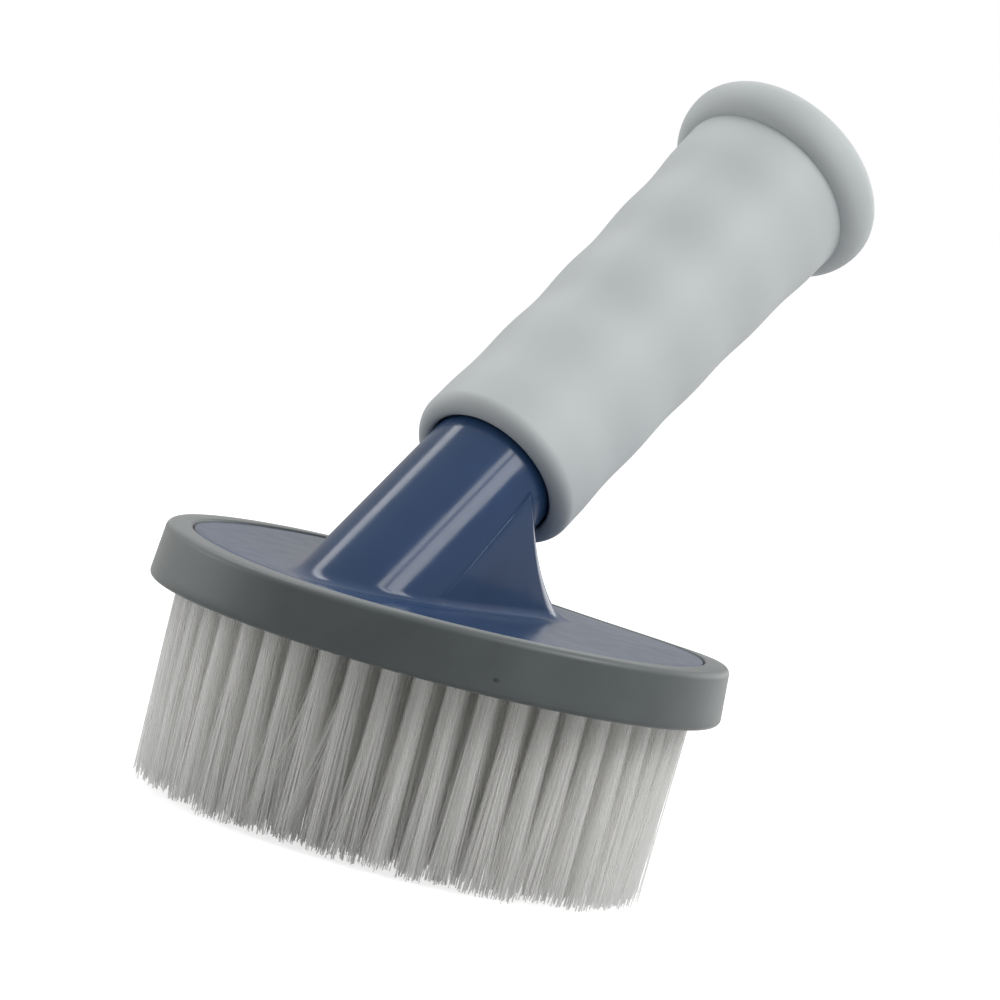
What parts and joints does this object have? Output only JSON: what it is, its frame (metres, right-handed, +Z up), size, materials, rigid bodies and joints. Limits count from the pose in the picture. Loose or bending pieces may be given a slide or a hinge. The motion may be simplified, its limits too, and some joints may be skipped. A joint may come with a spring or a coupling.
{
  "type": "hot tub brush",
  "caption": "Hand scrubbing brush for a hot tub: round head of nylon tufts in a soft rim, slanted neck and a soft grip with finger grooves and an end flange.",
  "frame": {"origin": "middle of the part's box, on the plane of the bristle tips", "axes": "+Z up from the bristle tips to the head, +X the way the handle leans, +Y across the head"},
  "size_m": [0.1656, 0.1238, 0.1741],
  "materials": {
    "shell": "moulded blue polypropylene, satin gloss",
    "rim": "moulded grey soft rubber, satin",
    "block": "moulded pale grey polypropylene",
    "bristles": "translucent white nylon filament",
    "screws": "stainless steel",
    "grip": "soft-touch light grey rubber",
    "plug": "moulded light grey polypropylene"
  },
  "bodies": {
    "root": {"head_shell": "shell", "rim_bumper": "rim", "bristle_block": "block", "bristles_edge": "bristles", "bristles_second": "bristles", "bristles_middle": "bristles", "bristles_centre": "bristles", "block_screw_1": "screws", "block_screw_2": "screws", "block_screw_3": "screws", "block_screw_4": "screws", "grip_sleeve": "grip", "end_plug": "plug"}
  },
  "joints": []
}
